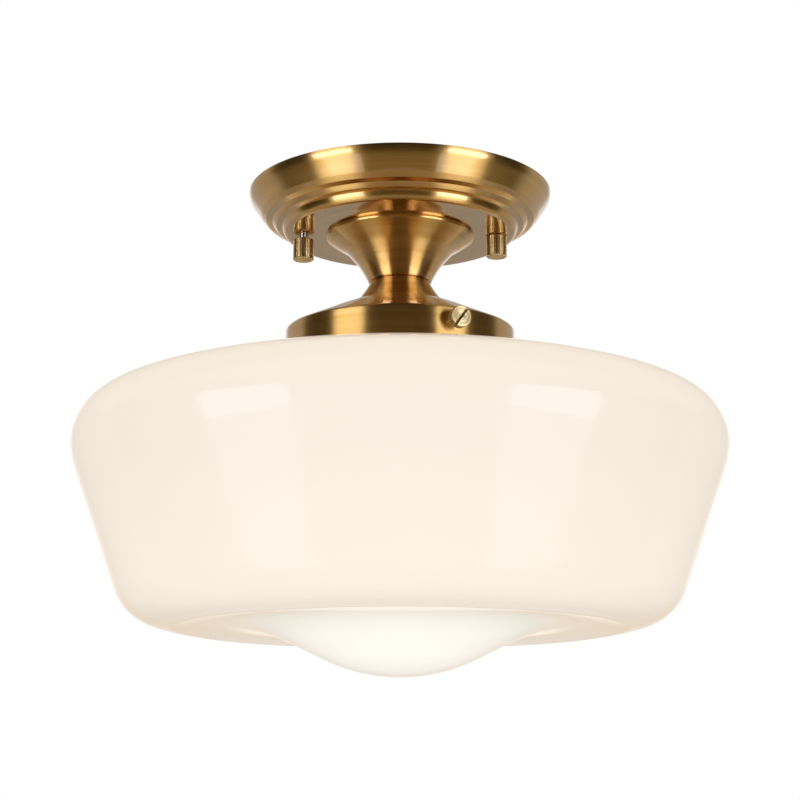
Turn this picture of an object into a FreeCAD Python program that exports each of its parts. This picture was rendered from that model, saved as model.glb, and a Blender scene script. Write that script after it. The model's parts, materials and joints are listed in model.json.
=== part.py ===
import FreeCAD, Part
import os
import re
import Sketcher
from math import atan2, cos, hypot, pi, sin, tan
from FreeCAD import Placement, Rotation, Vector

os.makedirs("parts", exist_ok=True)
doc = FreeCAD.newDocument("ceiling_light")

# A semi flush ceiling light: a spun brass canopy, a bell-shaped stem and a shade holder carry a
# blown opal glass shade round one bulb. Z is up. The ceiling is the plane Z = 0, the lamp hangs
# below it on the Z axis, and the front of the lamp looks towards -Y.

# ---------------------------------------------------------------- driving dimensions, in mm
DIMENSIONS = {
    # ceiling strap and the fasteners that carry the canopy
    "strap_length": 112, "strap_width": 20, "strap_thick": 2,
    "box_screw_pitch": 69.85, "box_slot_length": 12, "box_slot_width": 5,
    "slot_end_flat": 0.02, "wire_hole_radius": 5,
    "stud_pitch": 91, "stud_radius": 2.1, "stud_top": -0.3, "stud_length": 28.2,
    "locknut_across": 8, "locknut_height": 3.2,
    "ground_x": 16, "ground_shank_radius": 1.9, "strap_end_flat": 0.5,
    "ground_head_radius": 3.8, "ground_head_height": 2.4, "ground_head_round": 0.8,
    "ground_top": 0.1, "ground_slot_width": 1, "ground_slot_depth": 1,
    "cap_nut_radius": 4.9, "cap_nut_height": 10, "cap_nut_bore_depth": 8.6,
    "cap_nut_chamfer": 0.45, "cap_nut_gap": 0.2, "cap_nut_slack": 1.5,
    "cap_nut_teeth": 36, "cap_nut_tooth_depth": 0.28, "nut_clearance": 0.06,
    "stud_hole_gap": 0.3,
    # canopy, measured on its outside
    "canopy_radius": 71.1, "canopy_depth": 20, "canopy_wall": 0.9,
    "canopy_side_z": 2.5, "canopy_side_round": 7,
    "ridge_one_radius": 65.2, "ridge_one_z": 10.8, "ridge_one_crest_radius": 63.1,
    "ridge_two_radius": 60.2, "ridge_two_z": 13.7, "ridge_two_crest_radius": 58.3,
    "ridge_three_radius": 55.7, "ridge_three_z": 16.2, "ridge_three_crest_radius": 54.4,
    "ridge_crest_drop": 2, "ridge_round": 1.6, "face_round": 3.4,
    # bell-shaped stem
    "bell_gap": 0.05, "bell_wall": 0.9, "bell_mouth_radius": 33.5, "bell_lip_radius": 35,
    "bell_lip_z": 21.3, "bell_lip_round": 1, "bell_upper_radius": 25.4, "bell_upper_z": 27.5,
    "bell_upper_round": 16, "bell_lower_radius": 19, "bell_lower_z": 34.8,
    "bell_lower_round": 40, "bell_foot_radius": 14.6, "bell_foot_z": 42.9, "bell_foot_round": 1.1,
    # turned collar under the bell
    "collar_top_z": 43, "collar_top_radius": 13.7, "collar_waist_radius": 16,
    "collar_waist_z": 47.2, "collar_waist_round": 26, "collar_base_radius": 20.5,
    "collar_base_z": 53.1,
    # shade holder
    "holder_top_z": 53.7, "holder_wall": 1.2, "holder_seat_radius": 22.6, "holder_seat_round": 2.4,
    "holder_dome_radius": 33.8, "holder_dome_z": 58.6, "holder_dome_round": 40,
    "holder_radius": 53.4, "holder_shoulder_z": 67.7, "holder_edge_round": 1.3,
    "holder_bottom_z": 86.1,
    # threaded tube, its nuts and washers
    "rod_radius": 5, "rod_bore_radius": 3.5, "rod_top_z": 8, "rod_bottom_z": 65,
    "rod_clearance": 0.15, "rod_nut_across": 14, "rod_nut_height": 3.5,
    "lock_washer_radius": 9, "lock_washer_thick": 1, "holder_washer_radius": 11,
    "holder_washer_thick": 1.2,
    # thumb screw and the two fixed rests for the glass neck
    "screw_z": 74, "screw_azimuth": 26, "screw_shank_radius": 2, "screw_tip_radius": 49.3,
    "screw_face_radius": 61.4, "screw_head_radius": 4.85, "screw_head_thick": 3.6,
    "screw_slot_width": 1.25, "screw_slot_depth": 1.3, "screw_slot_angle": 53,
    "screw_teeth": 32, "screw_tooth_depth": 0.22, "screw_round": 0.5, "screw_tip_round": 0.4,
    "screw_back_round": 0.3, "bush_radius": 3.6, "bush_length": 2.2, "bush_clearance": 0.06,
    "bush_fit": 0.02, "bush_inset": 0.2,
    "rest_width": 8, "rest_height": 6, "rest_gap": 0.4, "rest_round": 0.8, "rest_back_gap": 0.4,
    # blown glass shade, measured on its outside
    "glass_wall": 3.2, "neck_radius": 48.9, "neck_top_z": 71.5, "neck_round": 3,
    "glass_shoulder_z": 86.5, "glass_crown_radius": 111.4, "glass_crown_z": 95.2,
    "glass_crown_round": 250, "glass_brow_radius": 152, "glass_brow_z": 108.8,
    "glass_brow_round": 22, "glass_wall_radius": 149.05, "glass_wall_z": 131.1,
    "glass_wall_round": 36, "glass_foot_radius": 123.5, "glass_foot_z": 201,
    "glass_foot_round": 24.5, "glass_ring_radius": 101.9, "glass_ring_z": 205.5,
    "glass_ring_round": 11.8, "glass_valley_radius": 71.6, "glass_valley_z": 200.2,
    "glass_valley_round": 76.8, "glass_nose_radius": 18.4, "glass_nose_z": 226.1,
    "glass_nose_round": 79,
    # lampholder
    "cap_top_z": 60.2, "cap_radius": 16, "cap_wall": 1, "cap_depth": 8, "cap_round": 2,
    "porcelain_gap": 0.2, "porcelain_neck_radius": 14.6, "porcelain_step_z": 68.6,
    "porcelain_radius": 19.5, "porcelain_bottom_z": 108, "porcelain_round": 2,
    "porcelain_neck_round": 1.2, "porcelain_lip_round": 0.8, "porcelain_rod_gap": 0.3,
    "porcelain_rod_end": 1,
    "porcelain_bore_radius": 14.4, "porcelain_bore_z": 77.5, "porcelain_wireway_radius": 4.5,
    "porcelain_screw_x": 11.2, "mount_screw_radius": 1.5, "mount_screw_head_radius": 2.7,
    "mount_screw_head_height": 1.8, "mount_screw_length": 7, "mount_screw_gap": 0.08,
    "mount_screw_round": 0.4, "mount_head_round": 0.8,
    "terminal_z": 90, "terminal_head_radius": 3, "terminal_head_height": 1.6,
    "terminal_shank_radius": 1.6, "terminal_shank_length": 3, "terminal_gap": 0.25,
    "terminal_seat_gap": 0.8, "terminal_round": 0.6,
    "contact_width": 6, "contact_thick": 0.5, "contact_length": 9, "contact_drop": 1.6,
    "contact_bend": 1.5,
    # screw base, 26 mm, seven threads to the inch
    "thread_radius": 13.1, "thread_pitch": 3.63, "thread_depth": 0.8, "thread_turns": 5,
    "thread_gap": 0.5, "thread_swell": 0.25, "thread_round": 1.4, "shell_wall": 0.4,
    "shell_round": 0.9, "shell_top_z": 78, "shell_hole_radius": 8,
    "shell_end_gap": 1.5, "base_top_z": 83, "base_lead": 1, "base_hole_radius": 10,
    # bulb
    "tip_top_z": 79.9, "tip_radius": 4.8, "tip_thick": 1.2, "tip_taper": 0.4, "tip_round": 0.6,
    "insulator_radius": 9.8, "insulator_depth": 2, "base_bottom_z": 106.9,
    "housing_neck_radius": 11.2, "housing_neck_depth": 6, "housing_neck_end_z": 107.6,
    "housing_neck_round": 3, "housing_mouth_z": 136.8, "housing_mouth_radius": 22.4,
    "housing_side_height": 4, "housing_side_round": 8, "housing_wall": 1.4,
    "globe_centre_z": 157, "globe_radius": 30, "globe_wall": 1.2, "globe_neck_z": 137,
    "led_board_radius": 19.5, "led_board_thick": 1.6, "led_board_z": 133,
    "driver_width": 17, "driver_length": 18, "driver_thick": 1.6, "driver_gap": 0.2,
    "driver_corner_round": 1,
}

dims = doc.addObject("Spreadsheet::Sheet", "dims")
for row, (alias, value) in enumerate(DIMENSIONS.items(), start=1):
    dims.set(f"A{row}", alias)
    dims.set(f"B{row}", str(value))
    dims.setAlias(f"B{row}", alias)
doc.recompute()

pieces = []


def formula(text):
    """A formula over the sheet's names, as objects outside the sheet write it."""
    return re.sub(r"\b[a-z][a-z_]+\b(?!\()", lambda word: "dims." + word.group(0), text)


def size(text):
    """The value of a formula now."""
    return float(dims.evalExpression(text))


def new_body(label, place=None, turn=None):
    """A body with its own label; place holds formulas for its position."""
    body = doc.addObject("PartDesign::Body", label)
    body.Label = label
    pieces.append(body)
    if turn is not None:
        body.Placement = Placement(Vector(), turn)
    for axis, text in zip("xyz", place or ()):
        body.setExpression(f".Placement.Base.{axis}", formula(text))
    return body


def new_sketch(body, name, plane="XZ_Plane"):
    sketch = body.newObject("Sketcher::SketchObject", name)
    support = [item for item in body.Origin.OriginFeatures if item.Role == plane][0]
    sketch.AttachmentSupport = (support, [""])
    sketch.MapMode = "FlatFace"
    return sketch


def constrain(sketch, text, *what):
    """A dimension in a sketch that follows a formula."""
    index = sketch.addConstraint(Sketcher.Constraint(*what, size(text)))
    sketch.setExpression(f"Constraints[{index}]", formula(text))


def fix_point(sketch, geometry, end, across, up):
    """Holds a point of a sketch at two formulas, measured from the sketch's origin."""
    if size(across) == 0:
        sketch.addConstraint(Sketcher.Constraint("PointOnObject", geometry, end, -2))
    else:
        constrain(sketch, across, "DistanceX", -1, 1, geometry, end)
    if size(up) == 0:
        sketch.addConstraint(Sketcher.Constraint("PointOnObject", geometry, end, -1))
    else:
        constrain(sketch, up, "DistanceY", -1, 1, geometry, end)


def rounded_runs(points, radii, closed):
    """Start and end of every straight run, and the arc data of every rounded corner."""
    count = len(points)
    runs = [[points[i], points[(i + 1) % count]] for i in range(count if closed else count - 1)]
    arcs = {}
    for i, radius in enumerate(radii):
        if not radius or (not closed and i in (0, count - 1)):
            continue
        here, before, after = points[i], points[i - 1], points[(i + 1) % count]
        to_before = (before - here).normalize()
        to_after = (after - here).normalize()
        half = to_before.getAngle(to_after) / 2
        reach = radius / tan(half)
        first, last = here + to_before * reach, here + to_after * reach
        centre = here + (to_before + to_after).normalize() * (radius / sin(half))
        runs[i - 1][1] = first
        runs[i][0] = last
        left_turn = to_before.cross(to_after).z < 0
        arcs[i] = (centre, radius, first, last, left_turn)
    return runs, arcs


def add_arc(sketch, centre, radius, first, last, left_turn):
    """An arc from first to last. Returns its number and which ends are first and last."""
    start, stop = (first, last) if left_turn else (last, first)
    angles = [atan2(point.y - centre.y, point.x - centre.x) for point in (start, stop)]
    circle = Part.Circle(centre, Vector(0, 0, 1), radius)
    arc = sketch.addGeometry(Part.ArcOfCircle(circle, *angles))
    return (arc, 1, 2) if left_turn else (arc, 2, 1)


def draw_chain(sketch, corners, closed, shift=None):
    """Straight runs joined at corners (across, up, round).

    With shift = (lines, text) the chain runs beside earlier lines at the distance text, and takes
    its place from them. Returns the numbers of the lines.
    """
    points = [Vector(size(across), size(up), 0) for across, up, _ in corners]
    radii = [size(rounding) if rounding else 0 for _, _, rounding in corners]
    if shift:
        points, radii = offset_chain(points, radii, size(shift[1]))
    runs, arcs = rounded_runs(points, radii, closed)
    lines = [sketch.addGeometry(Part.LineSegment(*run)) for run in runs]
    if shift:
        for line, guide in zip(lines, shift[0]):
            sketch.addConstraint(Sketcher.Constraint("Parallel", guide, line))
            constrain(sketch, shift[1], "Distance", line, 1, guide)
    count = len(corners)
    for i, (across, up, rounding) in enumerate(corners):
        open_end = not closed and i in (0, count - 1)
        if i in arcs:
            arc, first, last = add_arc(sketch, *arcs[i])
            sketch.addConstraint(Sketcher.Constraint("Tangent", lines[i - 1], 2, arc, first))
            sketch.addConstraint(Sketcher.Constraint("Tangent", lines[i], 1, arc, last))
            grow = "" if not shift else (" + " if radii[i] > size(rounding) else " - ") + shift[1]
            constrain(sketch, rounding + grow, "Radius", arc)
            if not shift:
                point = sketch.addGeometry(Part.Point(points[i]), True)
                sketch.addConstraint(Sketcher.Constraint("PointOnObject", point, 1, lines[i - 1]))
                sketch.addConstraint(Sketcher.Constraint("PointOnObject", point, 1, lines[i]))
                fix_point(sketch, point, 1, across, up)
            continue
        if not open_end:
            sketch.addConstraint(Sketcher.Constraint("Coincident", lines[i - 1], 2, lines[i], 1))
        if not shift:
            at_end = not closed and i == count - 1
            fix_point(sketch, lines[i - 1] if at_end else lines[i], 2 if at_end else 1, across, up)
    return lines


def offset_chain(points, radii, distance):
    """The corners of a chain that runs to the right of an open one, and its radii."""
    normals = []
    for here, after in zip(points, points[1:]):
        along = (after - here).normalize()
        normals.append(Vector(along.y, -along.x, 0))
    shifted, rounded = [points[0] + normals[0] * distance], [0]
    for i in range(1, len(points) - 1):
        before, after = normals[i - 1], normals[i]
        shifted.append(points[i] + (before + after) * (distance / (1 + before.dot(after))))
        turn = before.cross(after).z
        radius = radii[i] + (distance if turn > 0 else -distance) if radii[i] else 0
        rounded.append(radius)
    shifted.append(points[-1] + normals[-1] * distance)
    rounded.append(0)
    return shifted, rounded


def outline(sketch, corners):
    """A closed outline."""
    draw_chain(sketch, corners, closed=True)


def wall_outline(sketch, corners, wall):
    """The section of a shell: the chain of its outside and a second one beside it."""
    outer = draw_chain(sketch, corners, closed=False)
    inner = draw_chain(sketch, corners, closed=False, shift=(outer, wall))
    for end, point in ((0, 1), (-1, 2)):
        line, guide = inner[end], outer[end]
        first = sketch.Geometry[guide].StartPoint if point == 1 else sketch.Geometry[guide].EndPoint
        last = sketch.Geometry[line].StartPoint if point == 1 else sketch.Geometry[line].EndPoint
        edge = sketch.addGeometry(Part.LineSegment(first, last))
        sketch.addConstraint(Sketcher.Constraint("Coincident", edge, 1, guide, point))
        sketch.addConstraint(Sketcher.Constraint("Coincident", edge, 2, line, point))
        sketch.addConstraint(Sketcher.Constraint("Perpendicular", edge, guide))


def circle(sketch, radius, across="0", up="0"):
    centre = Vector(size(across), size(up), 0)
    ring = sketch.addGeometry(Part.Circle(centre, Vector(0, 0, 1), size(radius)))
    constrain(sketch, radius, "Radius", ring)
    fix_point(sketch, ring, 3, across, up)


def revolve(body, sketch, name="Turned"):
    feature = body.newObject("PartDesign::Revolution", name)
    feature.Profile = sketch
    feature.ReferenceAxis = (sketch, ["V_Axis"])
    feature.Angle = 360
    return feature


def pad(body, sketch, length, name="Pressed", reverse=False):
    feature = body.newObject("PartDesign::Pad", name)
    feature.Profile = sketch
    feature.setExpression("Length", formula(length))
    feature.Reversed = reverse
    return feature


def cut_through(body, sketch, name="Cut"):
    """Cuts a sketch through the whole piece, both ways."""
    feature = body.newObject("PartDesign::Pocket", name)
    feature.Profile = sketch
    feature.Type = "ThroughAll"
    feature.Midplane = True
    return feature


def cut_to(body, sketch, depth, name="Cut", reverse=False):
    feature = body.newObject("PartDesign::Pocket", name)
    feature.Profile = sketch
    feature.setExpression("Length", formula(depth))
    feature.Reversed = reverse
    return feature


def repeat_round(body, feature, count, name="Teeth"):
    """Repeats a feature round the Z axis."""
    pattern = body.newObject("PartDesign::PolarPattern", name)
    pattern.Originals = [feature]
    axis = [item for item in body.Origin.OriginFeatures if item.Role == "Z_Axis"][0]
    pattern.Axis = (axis, [""])
    pattern.Angle = 360
    pattern.setExpression("Occurrences", formula(count))
    body.Tip = pattern
    return pattern


def turned(label, corners, place=None, turn=None):
    """A solid turned from one closed outline."""
    body = new_body(label, place, turn)
    sketch = new_sketch(body, "Outline")
    outline(sketch, corners)
    revolve(body, sketch)
    return body


def spun(label, corners, wall):
    """A shell of even wall, from the chain of its outside."""
    body = new_body(label)
    sketch = new_sketch(body, "Section")
    wall_outline(sketch, corners, wall)
    revolve(body, sketch, "Spun")
    return body


def ring(label, outer, inner, bottom, top, place=None):
    """A washer, tube or disc between two radii and two heights."""
    corners = [(inner, bottom, None), (outer, bottom, None), (outer, top, None), (inner, top, None)]
    return turned(label, corners, place)


def hex_nut(label, across, height, bore, place):
    """A hexagon nut that stands on its place."""
    body = new_body(label, place)
    sketch = new_sketch(body, "Hexagon", "XY_Plane")
    far, near, half = f"{across} / sqrt(3)", f"{across} / sqrt(12)", f"{across} / 2"
    outline(sketch, [(far, "0", None), (near, half, None), (f"-{near}", half, None),
                     (f"-{far}", "0", None), (f"-{near}", f"-{half}", None),
                     (near, f"-{half}", None)])
    pad(body, sketch, height)
    hole = new_sketch(body, "Thread", "XY_Plane")
    circle(hole, bore)
    cut_through(body, hole)
    return body


def tooth(body, radius, depth, name="Tooth"):
    """One V groove along the rim of a round head, for a straight knurl."""
    sketch = new_sketch(body, name + "Outline", "XY_Plane")
    outer = f"{radius} + {depth}"
    outline(sketch, [(f"{radius} - {depth}", "0", None), (outer, f"{depth} * 1.7", None),
                     (outer, f"-{depth} * 1.7", None)])
    return cut_through(body, sketch, name)


# ---------------------------------------------------------------- ceiling strap and fasteners
def build_strap():
    """A flat steel strap with round ends and a hole for the wires.

    Its slots take the two screws of a ceiling box.
    """
    body = new_body("mounting_strap", ("0", "0", "-strap_thick"))
    sketch = new_sketch(body, "Strap", "XY_Plane")
    end, side = "strap_length / 2", "strap_width / 2"
    soft = "strap_width / 2 - strap_end_flat"
    outline(sketch, [(end, side, soft), (f"-{end}", side, soft), (f"-{end}", f"-{side}", soft),
                     (end, f"-{side}", soft)])
    pad(body, sketch, "strap_thick")
    holes = new_sketch(body, "Holes", "XY_Plane")
    circle(holes, "stud_radius", "stud_pitch / 2")
    circle(holes, "stud_radius", "-stud_pitch / 2")
    circle(holes, "ground_shank_radius", "ground_x")
    circle(holes, "wire_hole_radius")
    cut_through(body, holes, "Holes_cut")
    for name, sign in (("SlotLeft", "-"), ("SlotRight", "")):
        slot = new_sketch(body, name, "XY_Plane")
        half_width = "box_slot_width / 2"
        near = f"{sign}box_screw_pitch / 2 - box_slot_length / 2"
        far = f"{sign}box_screw_pitch / 2 + box_slot_length / 2"
        soft = "box_slot_width / 2 - slot_end_flat"
        outline(slot, [(far, half_width, soft), (near, half_width, soft),
                       (near, f"-{half_width}", soft), (far, f"-{half_width}", soft)])
        cut_through(body, slot, name + "_cut")


def build_ground_screw():
    """The earthing screw, under the strap."""
    turned("ground_screw", [
        ("0", "-strap_thick - ground_head_height", None),
        ("ground_head_radius", "-strap_thick - ground_head_height", "ground_head_round"),
        ("ground_head_radius", "-strap_thick", None),
        ("ground_shank_radius", "-strap_thick", None),
        ("ground_shank_radius", "-ground_top", None),
        ("0", "-ground_top", None)], ("ground_x", "0", "0"))
    body = pieces[-1]
    slot = new_sketch(body, "Slot", "XY_Plane")
    slot.AttachmentOffset = Placement(Vector(0, 0, -size("strap_thick + ground_head_height")),
                                      Rotation())
    far, half = "ground_head_radius + 1", "ground_slot_width / 2"
    outline(slot, [(far, half, None), (f"-({far})", half, None),
                   (f"-({far})", f"-{half}", None), (far, f"-{half}", None)])
    cut_to(body, slot, "ground_slot_depth", "Slot_cut", reverse=True)


def build_canopy_fasteners():
    """Threaded studs, their locknuts and the knurled cap nuts under the canopy."""
    for side, sign, slack in (("left", "-", "cap_nut_slack"), ("right", "", "0")):
        centre = f"{sign}stud_pitch / 2"
        ring(f"canopy_stud_{side}", "stud_radius", "0", "stud_top - stud_length", "stud_top",
             (centre, "0", "0"))
        hex_nut(f"stud_locknut_{side}", "locknut_across", "locknut_height",
                "stud_radius + nut_clearance", (centre, "0", "-strap_thick - locknut_height"))
        top = f"-canopy_depth - cap_nut_gap - {slack}"
        build_cap_nut(f"cap_nut_{side}", (centre, "0", f"{top} - cap_nut_height"))


def build_cap_nut(label, place):
    """A round nut with a straight knurl and a blind thread, open at its top."""
    rim, edge = "cap_nut_radius", "cap_nut_radius - cap_nut_chamfer"
    floor = "cap_nut_height - cap_nut_bore_depth"
    bore = "stud_radius + nut_clearance"
    body = turned(label, [
        ("0", "0", None), (edge, "0", None), (rim, "cap_nut_chamfer", None),
        (rim, "cap_nut_height - cap_nut_chamfer", None), (edge, "cap_nut_height", None),
        (bore, "cap_nut_height", None), (bore, floor, None), ("0", floor, None)], place)
    groove = tooth(body, "cap_nut_radius", "cap_nut_tooth_depth")
    repeat_round(body, groove, "cap_nut_teeth")


# ---------------------------------------------------------------- spun brass and the tube in it
def build_canopy():
    """The pan against the ceiling: a rounded side, three ridges and a flat face."""
    body = spun("canopy", [
        ("rod_radius + rod_clearance", "-canopy_depth", None),
        ("ridge_three_crest_radius", "-canopy_depth", "face_round"),
        ("ridge_three_radius", "-ridge_three_z", None),
        ("ridge_two_crest_radius", "-ridge_two_z - ridge_crest_drop", "ridge_round"),
        ("ridge_two_radius", "-ridge_two_z", None),
        ("ridge_one_crest_radius", "-ridge_one_z - ridge_crest_drop", "ridge_round"),
        ("ridge_one_radius", "-ridge_one_z", None),
        ("canopy_radius", "-canopy_side_z", "canopy_side_round"),
        ("canopy_radius", "0", None)][::-1], "canopy_wall")
    holes = new_sketch(body, "StudHoles", "XY_Plane")
    circle(holes, "stud_radius + stud_hole_gap", "stud_pitch / 2")
    circle(holes, "stud_radius + stud_hole_gap", "-stud_pitch / 2")
    cut_through(body, holes, "StudHoles_cut")


def build_bell():
    """The trumpet-shaped stem, open at its mouth and closed by a small floor."""
    spun("bell", [
        ("bell_mouth_radius", "-canopy_depth - bell_gap", None),
        ("bell_lip_radius", "-bell_lip_z", "bell_lip_round"),
        ("bell_upper_radius", "-bell_upper_z", "bell_upper_round"),
        ("bell_lower_radius", "-bell_lower_z", "bell_lower_round"),
        ("bell_foot_radius", "-bell_foot_z", "bell_foot_round"),
        ("rod_radius + rod_clearance", "-bell_foot_z", None)], "bell_wall")


def build_collar():
    """The flared turned collar between the bell and the shade holder."""
    bore = "rod_radius + rod_clearance"
    turned("neck_collar", [
        (bore, "-collar_top_z", None), (bore, "-holder_top_z", None),
        ("collar_base_radius", "-holder_top_z", None),
        ("collar_base_radius", "-collar_base_z", None),
        ("collar_waist_radius", "-collar_waist_z", "collar_waist_round"),
        ("collar_top_radius", "-collar_top_z", None)])


def build_holder():
    """The shade holder: a seat, a dome and an upright band with one hole for the screw."""
    body = spun("shade_holder", [
        ("holder_radius", "-holder_bottom_z", None),
        ("holder_radius", "-holder_shoulder_z", "holder_edge_round"),
        ("holder_dome_radius", "-holder_dome_z", "holder_dome_round"),
        ("holder_seat_radius", "-holder_top_z", "holder_seat_round"),
        ("rod_radius + rod_clearance", "-holder_top_z", None)][::-1], "holder_wall")
    hole = new_sketch(body, "ScrewHole", "XZ_Plane")
    hole.AttachmentOffset = Placement(Vector(), Rotation(Vector(0, 1, 0), size("screw_azimuth")))
    circle(hole, "bush_radius", "0", "-screw_z")
    cut_to(body, hole, "holder_radius * 1.1", "ScrewHole_cut", reverse=True)


def build_rod():
    """The hollow threaded tube that holds canopy, bell, collar and holder together."""
    bore = "rod_radius + rod_clearance"
    ring("threaded_tube", "rod_radius", "rod_bore_radius", "-rod_bottom_z", "-rod_top_z")
    washer_top = "canopy_wall - canopy_depth + lock_washer_thick"
    ring("lock_washer", "lock_washer_radius", bore, "canopy_wall - canopy_depth", washer_top)
    hex_nut("upper_tube_nut", "rod_nut_across", "rod_nut_height", bore, ("0", "0", washer_top))
    washer_bottom = "-holder_top_z - holder_wall - holder_washer_thick"
    ring("holder_washer", "holder_washer_radius", bore, washer_bottom, "-holder_top_z - holder_wall")
    hex_nut("lower_tube_nut", "rod_nut_across", "rod_nut_height", bore,
            ("0", "0", f"{washer_bottom} - rod_nut_height"))


# ---------------------------------------------------------------- what holds the glass
def around(angle):
    """Turns a piece that was drawn along +Z to point outwards, angle degrees from the front."""
    return Rotation(Vector(0, 0, 1), angle) * Rotation(Vector(1, 0, 0), 90)


def build_thumb_screw():
    """The slotted thumb screw, drawn along +Z from its tip to its head and then turned."""
    azimuth = size("screw_azimuth")
    seat = "screw_face_radius - screw_head_thick"
    place = ("0", "0", "-screw_z")
    screw = turned("thumb_screw", [
        ("0", "screw_tip_radius", None),
        ("screw_shank_radius", "screw_tip_radius", "screw_tip_round"),
        ("screw_shank_radius", seat, None), ("screw_head_radius", seat, "screw_back_round"),
        ("screw_head_radius", "screw_face_radius", "screw_round"),
        ("0", "screw_face_radius", None)], place, around(azimuth))
    groove = tooth(screw, "screw_head_radius", "screw_tooth_depth")
    repeat_round(screw, groove, "screw_teeth")
    slot = new_sketch(screw, "Slot", "XY_Plane")
    slot.AttachmentOffset = Placement(Vector(0, 0, size("screw_face_radius")),
                                      Rotation(Vector(0, 0, 1), size("screw_slot_angle")))
    far, half = "screw_head_radius + 1", "screw_slot_width / 2"
    outline(slot, [(far, half, None), (f"-({far})", half, None),
                   (f"-({far})", f"-{half}", None), (far, f"-{half}", None)])
    cut_to(screw, slot, "screw_slot_depth", "Slot_cut")
    bore = "screw_shank_radius + bush_clearance"
    bush = ring("screw_bush", "bush_radius - bush_fit", bore,
                "holder_radius - holder_wall - bush_length", "holder_radius - bush_inset", place)
    bush.Placement = Placement(bush.Placement.Base, around(azimuth))


def build_rests():
    """Two brass blocks inside the band, a third of a turn each way from the screw."""
    for label, step in (("shade_rest_left", -120), ("shade_rest_rear", 120)):
        angle = size("screw_azimuth") + step
        body = new_body(label, ("0", "0", "-screw_z"), around(angle))
        sketch = new_sketch(body, "Block", "YZ_Plane")
        half, inner = "rest_height / 2", "neck_radius + rest_gap"
        back = "holder_radius - holder_wall - rest_back_gap"
        outline(sketch, [(f"-{half}", inner, "rest_round"), (half, inner, "rest_round"),
                         (half, back, None), (f"-{half}", back, None)])
        block = pad(body, sketch, "rest_width")
        block.Midplane = True


def build_glass():
    """The blown shade, one unbroken wall from the rim of its neck to the centre of its nose."""
    spun("glass_shade", [
        ("neck_radius", "-neck_top_z", None),
        ("neck_radius", "-glass_shoulder_z", "neck_round"),
        ("glass_crown_radius", "-glass_crown_z", "glass_crown_round"),
        ("glass_brow_radius", "-glass_brow_z", "glass_brow_round"),
        ("glass_wall_radius", "-glass_wall_z", "glass_wall_round"),
        ("glass_foot_radius", "-glass_foot_z", "glass_foot_round"),
        ("glass_ring_radius", "-glass_ring_z", "glass_ring_round"),
        ("glass_valley_radius", "-glass_valley_z", "glass_valley_round"),
        ("glass_nose_radius", "-glass_nose_z", "glass_nose_round"),
        ("0", "-glass_nose_z", None)], "glass_wall")


# ---------------------------------------------------------------- lampholder
def build_lampholder():
    """A steel cap on the threaded tube and a porcelain body with its metal parts."""
    cap = spun("socket_cap", [
        ("rod_radius + rod_clearance", "-cap_top_z", None),
        ("cap_radius", "-cap_top_z", "cap_round"),
        ("cap_radius", "-cap_top_z - cap_depth", None)], "cap_wall")
    holes = new_sketch(cap, "ScrewHoles", "XY_Plane")
    circle(holes, "mount_screw_radius + mount_screw_gap", "porcelain_screw_x")
    circle(holes, "mount_screw_radius + mount_screw_gap", "-porcelain_screw_x")
    cut_through(cap, holes, "ScrewHoles_cut")

    top = "-cap_top_z - cap_wall - porcelain_gap"
    bottom, step = "-porcelain_bottom_z", "-porcelain_step_z"
    bore, shelf = "rod_radius + porcelain_rod_gap", "-rod_bottom_z - porcelain_rod_end"
    porcelain = turned("socket_body", [
        (bore, top, None), ("porcelain_neck_radius", top, "porcelain_neck_round"),
        ("porcelain_neck_radius", step, None), ("porcelain_radius", step, "porcelain_round"),
        ("porcelain_radius", bottom, "porcelain_round"),
        ("porcelain_bore_radius", bottom, "porcelain_lip_round"),
        ("porcelain_bore_radius", "-porcelain_bore_z", None),
        ("porcelain_wireway_radius", "-porcelain_bore_z", None),
        ("porcelain_wireway_radius", shelf, None), (bore, shelf, None)])
    sockets = new_sketch(porcelain, "ScrewSockets", "XY_Plane")
    sockets.AttachmentOffset = Placement(Vector(0, 0, -size("cap_top_z")), Rotation())
    circle(sockets, "mount_screw_radius + mount_screw_gap", "porcelain_screw_x")
    circle(sockets, "mount_screw_radius + mount_screw_gap", "-porcelain_screw_x")
    cut_to(porcelain, sockets, "mount_screw_length * 1.1", "ScrewSockets_cut")
    seats = new_sketch(porcelain, "TerminalSeats", "XZ_Plane")
    circle(seats, "terminal_head_radius + terminal_seat_gap", "0", "-terminal_z")
    cut_through(porcelain, seats, "TerminalSeats_cut")

    for side, sign in (("left", "-"), ("right", "")):
        turned(f"socket_screw_{side}", [
            ("0", "-mount_screw_length", None),
            ("mount_screw_radius", "-mount_screw_length", "mount_screw_round"),
            ("mount_screw_radius", "0", None), ("mount_screw_head_radius", "0", None),
            ("mount_screw_head_radius", "mount_screw_head_height", "mount_head_round"),
            ("0", "mount_screw_head_height", None)], (f"{sign}porcelain_screw_x", "0", "-cap_top_z"))


def build_terminals():
    """Two terminal screws in the sides of the porcelain, joined to the shell and the contact."""
    start = "thread_radius + thread_gap + shell_wall + terminal_gap"
    for label, angle in (("neutral_terminal_screw", 0), ("live_terminal_screw", 180)):
        reach = f"{start} + terminal_shank_length"
        turned(label, [
            ("0", start, None), ("terminal_shank_radius", start, None),
            ("terminal_shank_radius", reach, None), ("terminal_head_radius", reach, None),
            ("terminal_head_radius", f"{reach} + terminal_head_height", "terminal_round"),
            ("0", f"{reach} + terminal_head_height", None)],
            ("0", "0", "-terminal_z"), around(angle))


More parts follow.
